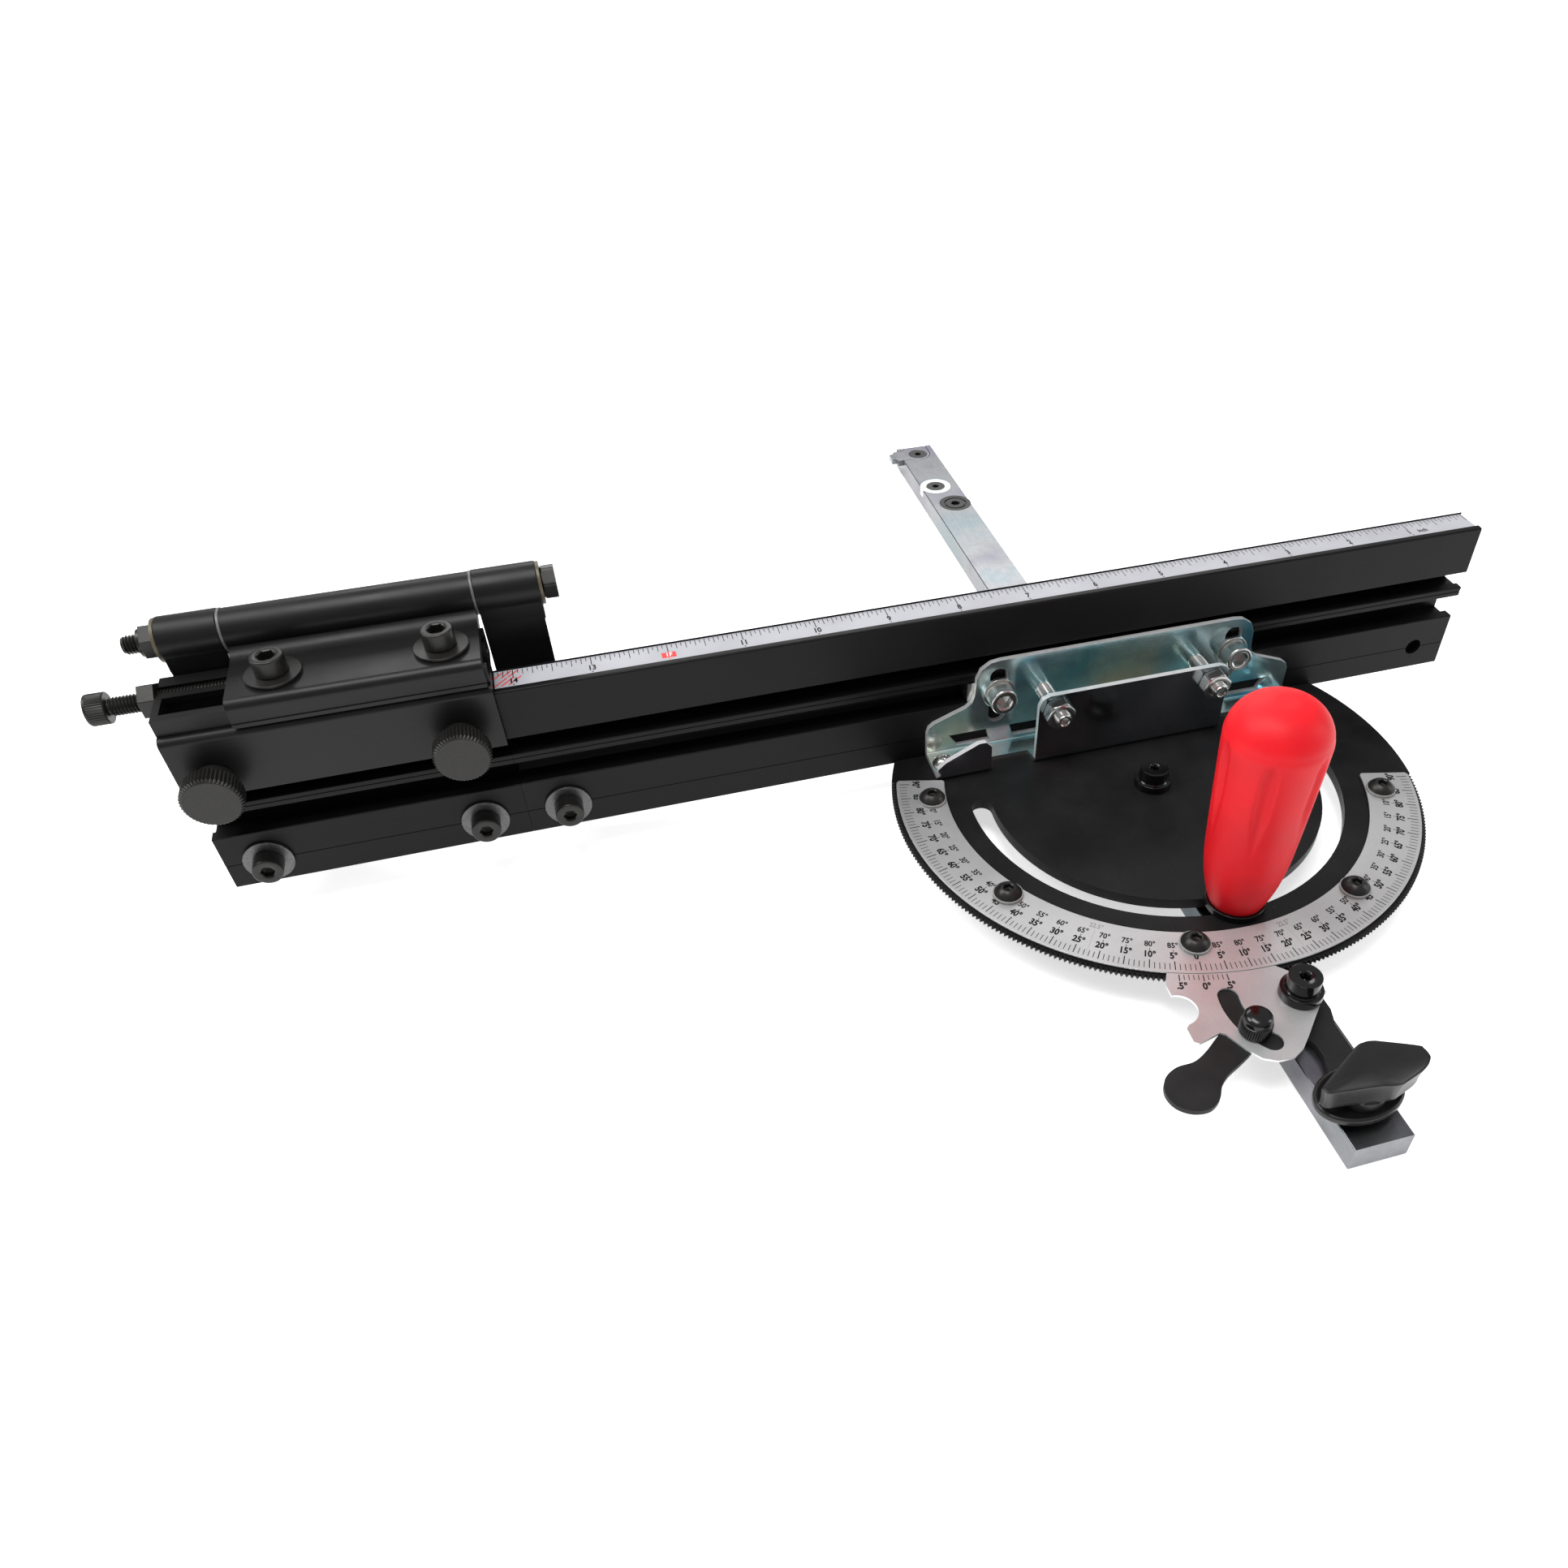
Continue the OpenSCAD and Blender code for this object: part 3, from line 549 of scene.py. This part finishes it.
def lamp(name, at, to, size, watts, tint=(1, 1, 1)):
    d = bpy.data.lights.new(name, "AREA")
    d.shape, d.size, d.size_y = "RECTANGLE", size[0], size[1]
    d.energy, d.color = watts, tint
    ob = bpy.data.objects.new(name, d)
    bpy.context.scene.collection.objects.link(ob)
    ob.location = at
    ob.rotation_euler = (Vector(to) - Vector(at)).to_track_quat("-Z", "Y").to_euler()


lamp("top", (-0.35, -0.1, 1.5), (-0.05, 0, 0), (0.9, 0.5), 14)
lamp("key", (-1.1, 0.4, 1.2), (0, 0, 0), (0.7, 0.7), 12)
lamp("back", (0.2, 1.6, 1.0), (-0.05, 0, 0.03), (1.8, 0.5), 11)
lamp("side", (1.5, -0.4, 0.7), (0, 0, 0.03), (0.5, 0.8), 5)

bm = bmesh.new()
bmesh.ops.create_grid(bm, x_segments=1, y_segments=1, size=40)
sheet = bpy.data.meshes.new("floor")
bm.to_mesh(sheet)
bm.free()
floor = bpy.data.objects.new("floor", sheet)
floor.location = (0, 0, cad_box[0].z - 0.0004)
bpy.context.scene.collection.objects.link(floor)
PAPER = shader("paper", (0.9, 0.9, 0.9), 0.9)
glow = PAPER.node_tree.nodes["Principled BSDF"]
glow.inputs["Emission Color"].default_value = (1, 1, 1, 1)
glow.inputs["Emission Strength"].default_value = 0.6
rough_range(PAPER, field(PAPER, 30).outputs["Fac"], 0.85, 0.95)
sheet.materials.append(PAPER)

# ------------------------------------------------------------------ bar
refine("miter_bar", BAR, 0.2)
refine("bar_guide_plate", BAR, 0.2)
refine("guide_plate_screw", OXIDE, 0.12)
refine("expansion_washer", NYLON, 0.25, 3)
refine("expansion_screw", OXIDE, 0.12)
refine("expansion_disc", OXIDE, 0.15)
refine("index_base", LEVER, 0.6, 3)

# two turned bosses: a shank, a flange, a drum and a small countersunk socket
for node, y, foot, flange, drum, top, shank in (
        ("pivot_boss", 0, 5.9, 6.55, 5.2, 7.6, [(-14.5, 2.8), (-14.3, 3), (-5.85, 3), (-5.85, 6)]),
        ("vernier_boss", -106, 7.15, 6.7, 5.15, 8.4, [(-15, 2.3), (-14.8, 2.5)])):
    bm, shoulder, socket = bmesh.new(), 0.36 * top, hexagon(2.7)
    turned(bm, (0, y, foot), UP, shank + [
        (0, shank[-1][1]), (0, flange - 0.25), (0.25, flange), (shoulder - 0.45, flange),
        (shoulder - 0.12, flange - 0.13), (shoulder, flange - 0.45), (shoulder + 0.05, drum + 0.3),
        (shoulder + 0.35, drum), (top - 0.4, drum), (top - 0.12, drum - 0.12),
        (top, drum - 0.4), (top, 2.1), (top - 0.1, 1.95), (top - 0.5, 1.6), (top - 0.8, socket),
        (top - 3.4, socket), (top - 3.8, 0.6)], 120)
    piece(node, bm, GLOSS)


# ------------------------------------------------------------ index lever
def slab(bm, outline, z0, z1):
    """A flat plate with a smooth outline, from z0 to z1."""
    low, high = [[bm.verts.new(Vector((p.x, p.y, z)) * MM) for p in outline] for z in (z0, z1)]
    n = len(outline)
    faces = [bm.faces.new(low), bm.faces.new(high)]
    faces += [bm.faces.new((low[i], low[(i + 1) % n], high[(i + 1) % n], high[i]))
              for i in range(n)]
    bmesh.ops.recalc_face_normals(bm, faces=faces)


PADDLE = [(-21, -109), (-26.5, -110.2), (-31.5, -113.6), (-36.5, -117.2), (-41.5, -119.7),
          (-47.5, -120.2), (-52.2, -122.8), (-54.4, -127.4), (-53.3, -132.2), (-49.5, -135.4),
          (-44.6, -136.1), (-40.6, -133.9), (-37.6, -129.6), (-34, -126.6), (-29.5, -124.3),
          (-24, -121.2), (-19, -117)]
BACKING = [(-14, -113), (-18, -104), (-18, -98.6), (-21.5, -96.8), (-25, -98.8), (-26.6, -106),
           (-24.6, -114), (-20.8, -122), (-17.2, -124.8), (-13.2, -123.6), (-11.8, -119.6)]
bm = cad_mesh("index_lever")
bmesh.ops.bisect_plane(bm, geom=bm.verts[:] + bm.edges[:] + bm.faces[:], clear_inner=True,
                       plane_co=(-0.0205, 0, 0), plane_no=(1, 0, 0))
slab(bm, smooth_loop(PADDLE, 136), 4.4, 6.15)
slab(bm, smooth_loop(BACKING, 88), 5.65, 6.18)
soften(bm, 0.22, 2)
piece("index_lever", bm, LEVER, flat=20, weigh=False)


# ---------------------------------------------------- scales and vernier
MARK_Z = 7.112  # just over the top of the scale


def polar_tick(bm, a, r0, r1, width, mat):
    strip(bm, pol(r0, a), pol(r1, a), width, MARK_Z, mat)


def polar_label(bm, text, size, r, a, mat=1, squeeze=0.8, bold=0.0):
    label(bm, text, size, *pol(r, a), MARK_Z, a, squeeze, mat, bold)


bm = cad_mesh("degree_scale")
soften(bm, 0.12)
for n in range(-90, 91):
    long = n % 5 == 0
    polar_tick(bm, INDEX + n, 88.5 if long else 89.5, 92.1, 0.34 if long else 0.24, 1)
for n in range(-90, 91, 5):
    polar_label(bm, "%d°" % abs(n), 3.6, 86.3, INDEX + n, bold=0.16)
    if n and abs(n) < 90:
        polar_tick(bm, INDEX + n, 83.6, 84.7, 0.2, 1)
        if abs(n) not in (45, 85):
            polar_label(bm, "%d°" % (90 - abs(n)), 3.15, 81.9, INDEX + n, bold=0.1)
for s in (-22.5, 22.5):
    polar_label(bm, "22.5°", 2.7, 78.5, INDEX + s, 2, bold=0.06)
    for k in range(12):
        polar_tick(bm, INDEX + s, 80.7 + 0.9 * k, 81.2 + 0.9 * k, 0.16, 2)
piece("degree_scale", bm, [SCALE, INK, FADED])

bm = cad_mesh("vernier_plate")
PIVOT_Y, SLOT_R, SLOT_HALF = -106, 21.9, 3.3  # the arc slot that the lock screw swings in
for v in bm.verts:  # true up the walls of the slot
    arm = Vector((v.co.x, v.co.y - PIVOT_Y * MM))
    turn, off = math.degrees(math.atan2(arm.y, arm.x)) % 360, arm.length / MM - SLOT_R
    if 166 < turn < 222 and 2.9 < abs(off) < 3.4:
        arm = arm.normalized() * (SLOT_R + math.copysign(SLOT_HALF, off)) * MM
        v.co.x, v.co.y = arm.x, arm.y + PIVOT_Y * MM
soften(bm, 0.15)
for k in range(-5, 6):
    long = k % 5 == 0
    polar_tick(bm, INDEX + 0.9 * k, 94.05, 96.7 if long else 96.1, 0.34 if long else 0.24, 1)
for text, a in ((".5°", -19.4), ("0°", -15.0), (".5°", -10.7)):
    polar_label(bm, text, 3.7, 98.7, a, bold=0.16)
vernier = piece("vernier_plate", bm, [SCALE, INK, EDGE_HIGHLIGHT])
# the plate's side faces take the near-white edge zinc: a painted highlight along the outline
for face in vernier.data.polygons:
    if abs(face.normal.z) < 0.9:
        face.material_index = 2

# ------------------------------------------------------------- rule tape
bm = cad_mesh("fence_tape")
TAPE_Z, TAPE_START = 63.312, 142.78  # TAPE_START is where inch 0 would be
for k in range(0, 228):
    x = TAPE_START - INCH * k / 16
    y = 47.8 if k % 16 == 0 else 47.9 if k % 8 == 0 else 48.7 if k % 4 == 0 else \
        49.1 if k % 2 == 0 else 50.3
    strip(bm, (x, y), (x, 52.3), 0.3 if k % 16 == 0 else 0.24, TAPE_Z, 1)
for k in range(1, 15):
    x = TAPE_START - INCH * k
    if k == 12:
        strip(bm, (x - 2.4, 46.1), (x + 2.4, 46.1), 3.1, TAPE_Z, 2)
        label(bm, "1F", 3.3, x, 46.1, TAPE_Z + 0.01, 0, 0.75, 3, 0.04)
    else:
        label(bm, str(k), 3.9, x - (0.4 if k == 1 else 0), 46.0, TAPE_Z, 0, 0.7, 1, 0.15)
    if k == 1:
        label(bm, "inch", 3.0, x + 5.2, 45.9, TAPE_Z, 0, 0.8, 1, 0.1)
    strip(bm, (x - 0.25, 43.8), (x + 0.25, 43.8), 0.5, TAPE_Z, 2 if k == 12 else 1)
for k in range(3):
    x = -219.0 + 2.3 * k
    strip(bm, (x, 44.0), (x + 4.2, 48.2), 0.5, TAPE_Z, 2)
    strip(bm, (x, 48.6), (x + 3.4, 52.0), 0.5, TAPE_Z, 2)
piece("fence_tape", bm, [TAPE, INK, RED_INK, WHITE_INK])

# ----------------------------------------------------------------- head
refine("protractor_plate", POWDER, 0.1)
bracket = refine("fence_bracket", SHEET, 0.22, 3, picks=[
    (along((39.6, 5.8), (23.5, 5.8)), 2.2, 6),
    (along((37.6, 7.8), (25.5, 7.8)), 0.9, 4)])
bracket.data.materials.append(EDGE_HIGHLIGHT)
bracket.data.materials.append(PANEL_REFLECTION)
for face in bracket.data.polygons:
    # thickness faces above the foot take the near-white edge zinc, a painted highlight
    if abs(face.normal.y) < 0.75 and face.center.z > 8.2 * MM:
        face.material_index = 1
    # the front panel's outward faces take the darker panel zinc, a painted reflection
    elif face.normal.y < -0.7 and face.center.y < 24.5 * MM and face.center.z > 7 * MM:
        face.material_index = 2
refine("fence_screw_washers", SCREW, 0.15)
BRACKET_X, TILT_Z = -1, 28.8
TILT_XS = (-28.9, 32.2)
bm = bmesh.new()
for s in (-1, 1):
    cap_screw(bm, (BRACKET_X + s * 46.5, 36, 30.8), USER, 6, 10, 6, 10.8, 5, knurl=44)
piece("fence_screws", bm, SCREW)
bm = bmesh.new()
for s in (-1, 1):
    cap_screw(bm, (BRACKET_X + s * 69, 30.8, 7.8), UP, 5, 8.2, 3.4, 5.9, 2.5, dome=True)
piece("bracket_screws", bm, SCREW)
bm = bmesh.new()
for x in TILT_XS:
    thread(bm, (BRACKET_X + x, 37.55, TILT_Z), USER, 22, key=3)
piece("tilt_set_screws", bm, SCREW)
bm = bmesh.new()
for x in TILT_XS:
    hex_body(bm, (BRACKET_X + x, 23.5, TILT_Z), USER, 10, 5, 3.06, math.radians(12))
piece("tilt_lock_nuts", bm, SCREW)
bm = bmesh.new()
for a in (-84, -45, 0, 45, 85):
    cap_screw(bm, (*pol(81, a + INDEX), 8.1), UP, 5, 9.4, 3, 6, 3, dome=True)
piece("scale_screws", bm, OXIDE)
refine("scale_washers", CLEAR, 0.15)

# ---------------------------------------------------------------- fence
FENCE_EDGES = [
    (along((39.7, 63.9), (53.3, 63.9)), 0.85, 4),
    (along((42.3, 63.9), (52.6, 63.9)), 0.3, 3),
    (along((39.7, 4.6), (53.3, 4.6)), 0.4, 3),
    (along((39.7, 39), (39.7, 45.4), (39.7, 26.3), (39.7, 35.2)), 0.35, 3)]
refine("main_fence", ANODISED, 0.08, 2, picks=FENCE_EDGES)
refine("extension_fence", ANODISED, 0.08, 2, picks=FENCE_EDGES)
for node, xs, length in (("fence_lock_screw", (-205.3,), 5),
                         ("extension_screws", (-304.8, -233.7), 10)):
    bm = bmesh.new()
    for x in xs:
        cap_screw(bm, (x, 38.5, 14.2), USER, 5, 9.7, 5.8, length, 4)
    piece(node, bm, OXIDE)
refine("fence_lock_washer", STEEL, 0.2)
refine("extension_washers", STEEL, 0.2)

# ------------------------------------------------------------ flip stop
refine("stop_base", SATIN, 0.2, 3)
refine("stop_carrier", SATIN, 0.2, 3)
refine("flip_arm_left", SATIN, 0.35, 3)
refine("flip_arm_right", SATIN, 0.35, 3)
refine("hinge_spacers", GREY, 0.15)
refine("hinge_end_washers", YELLOW, 0.15)
refine("hinge_nut", OXIDE, 0.25)
refine("micro_adjust_nut", OXIDE, 0.4)
refine("carrier_washers", OXIDE, 0.2)
bm = bmesh.new()
for x in (-282.2, -231.8):
    cap_screw(bm, (x, 49.9, 78.3), UP, 5, 10, 6, 10.4, 5)
piece("carrier_screws", bm, OXIDE)
HINGE_YZ, MICRO_YZ = (72, 82.1), (57.35, 70.25)
bm = bmesh.new()
hex_body(bm, (-193.2, *HINGE_YZ), LEFT, 10, 4.5, turn=0.3)
turned(bm, (-197.6, *HINGE_YZ), LEFT, [(0, 2.8), (0.2, 3), (117.9, 3), (118, 2.9)], 40)
thread(bm, (-315.5, *HINGE_YZ), LEFT, 10.9)
piece("hinge_bolt", bm, OXIDE)
bm = bmesh.new()
cap_screw(bm, (-333.3, *MICRO_YZ), LEFT, 5, 10, 6, 0.1, 5, knurl=40)
thread(bm, (-296.1, *MICRO_YZ), LEFT, 37.2)
piece("micro_adjust_screw", bm, OXIDE)
for node, x in (("stop_knob_left", -307.5), ("stop_knob_right", -232.6)):
    bm = bmesh.new()
    knurled(bm, (x, 37.25, 51.2), USER, [
        (-2.3, 2.2, 0), (-2.1, 2.5, 0), (0, 2.5, 0), (0, 5.7, 0), (0.3, 6, 0), (5.4, 6, 0),
        (5.5, 6.4, 0), (5.5, 8.2, 0), (6.1, 9.0, 0.8), (6.3, 9.1, 1), (11.2, 9.1, 1),
        (11.5, 9.05, 1), (12.35, 8.2, 0.15), (12.5, 7.9, 0)], 48, 0.6)
    piece(node, bm, OXIDE, flat=30)

# ------------------------------------------------------ handle and knobs
GRIP_R, GRIP_H = 15.9, 78
FLUTE_HALF, FLUTE_DEPTH, FLUTE_START = 2.5, 0.26, 57  # mm, per mm, degrees


def grip_profile():
    """(z, radius) up the grip, from shares of its radius and height."""
    pts = [(0.56, 0), (0.6, 0.02), (0.69, 0.08), (0.77, 0.15), (0.84, 0.25), (0.88, 0.36),
           (0.92, 0.5), (0.96, 0.66), (0.985, 0.76), (1.0, 0.84)]
    out = []
    for i in range(len(pts) - 1):
        p = [Vector(pts[min(max(i + d, 0), len(pts) - 1)]) for d in (-1, 0, 1, 2)]
        for k in range(6):
            out.append(between(*p, k / 6))
    for a in range(0, 88, 4):
        a = math.radians(a)
        out.append(Vector((math.cos(a) ** 0.72, 0.84 + 0.16 * math.sin(a) ** 1.1)))
    return [(q.y * GRIP_H, q.x * GRIP_R) for q in out]


def grip_ring(z, r):
    """A ring of the grip with six shallow flutes, and a crease near the top."""
    t = z / GRIP_H
    w = FLUTE_HALF * min(1.0, max(0.0, (t - 0.36) / 0.24)) ** 0.8
    if t > 0.76:
        w *= math.sqrt(max(0.0, 1 - ((t - 0.76) / 0.095) ** 2))
    crease = 0.22 * math.exp(-((t - 0.872) / 0.006) ** 2)

    def radius(a):
        d = (math.degrees(a) - FLUTE_START) % 60
        arc = math.radians(min(d, 60 - d)) * r
        cut = FLUTE_DEPTH * (w * w - arc * arc) if arc < w else 0.0
        return r - cut - crease
    return z, radius


bm = bmesh.new()
turned(bm, (0, -63.8, 8.4), UP, [(54.9, 3.56), (0.4, 3.56), (0, 3.9), (0, 0.53 * GRIP_R)]
       + [grip_ring(z, r) for z, r in grip_profile()], 180)
piece("handle_grip", bm, RED, flat=50)
refine("handle_collar", GLOSS, 0.3)

# wing knob: oval foot with a dished top, a boss, and the wing on it
WX, WY, WZ = -1, -142, 2.9
OUTLINE = [(-16.3, -3.4), (-15.3, -5.1), (-9.6, -6), (-1.3, -6.9), (2.5, -7.7), (4.9, -7.9),
           (7, -7.5), (14.2, -5), (17.6, -2.4), (18.2, -0.6), (17.9, 1.4), (16.9, 2.7),
           (8.3, 6.7), (5.5, 7.8), (2.8, 8), (-1.2, 6.7), (-15.5, -2.1)]
bm = bmesh.new()
TURN = math.radians(5.6)


def oval(a):
    def radius(t):
        b = a - 4.6
        return a * b / math.hypot(b * math.cos(t - TURN), a * math.sin(t - TURN))
    return radius


turned(bm, (WX, WY, WZ), UP, [(z, oval(a)) for z, a in (
    (0, 13.7), (0.15, 14.0), (0.5, 14.2), (1.8, 14.2), (2.2, 14.05), (2.5, 13.7), (2.6, 13.3),
    (2.5, 12.9), (2.1, 12.4), (1.9, 11.8), (1.8, 10.5))], 96)
loop = smooth_loop(OUTLINE, 120)
ROWS = [(1.7, 0.0, 1.0), (4.2, 0.0, 1.0), (5.4, 0.12, 1.0), (5.9, 0.3, 1.0), (6.15, 0.9, 0.93),
        (6.4, 1.0, 0.935), (7.5, 1.0, 0.93), (9.0, 1.0, 0.935), (11.0, 1.0, 0.955),
        (13.3, 1.0, 0.99), (13.9, 1.0, 1.0), (14.15, 1.0, 0.995), (14.28, 1.0, 0.98),
        (14.2, 1.0, 0.95), (13.9, 1.0, 0.85), (13.5, 1.0, 0.6), (13.2, 1.0, 0.3),
        (13.1, 1.0, 0.08)]


def knob_point(i, j):
    z, blend, scale = ROWS[i]
    p = loop[j]
    a = math.atan2(p.y, p.x)
    x = (1 - blend) * 7.4 * math.cos(a) + blend * p.x * scale
    y = (1 - blend) * 7.4 * math.sin(a) + blend * p.y * scale
    return WX + x, WY + y, WZ + z


surface(bm, len(ROWS), len(loop), knob_point)
piece("wing_knob", bm, BLACK, flat=60)

bm = bmesh.new()
knurled(bm, (-20.006, -114.907, 7.2), UP, [
    (-4, 1.8, 0), (-3.8, 2, 0), (0, 2, 0), (0, 4.5, 0), (0.35, 4.9, 1), (4.1, 4.9, 1),
    (4.5, 4.6, 0), (4.6, 4.4, 0), (5.9, 4.4, 0), (6.4, 4.28, 0), (6.9, 3.9, 0), (7.3, 3.3, 0),
    (7.6, 2.5, 0), (7.8, 1.5, 0), (7.88, 0.5, 0)], 40, 0.35)
piece("lever_lock_screw", bm, GLOSS, flat=40)

for n, m in (("fence_slot_nuts", SCREW), ("extension_rail", STEEL), ("carrier_slot_nuts", STEEL),
             ("clamp_stud", STEEL), ("wing_knob_stud", STEEL)):
    NODES[n].data.materials.clear()
    NODES[n].data.materials.append(m)
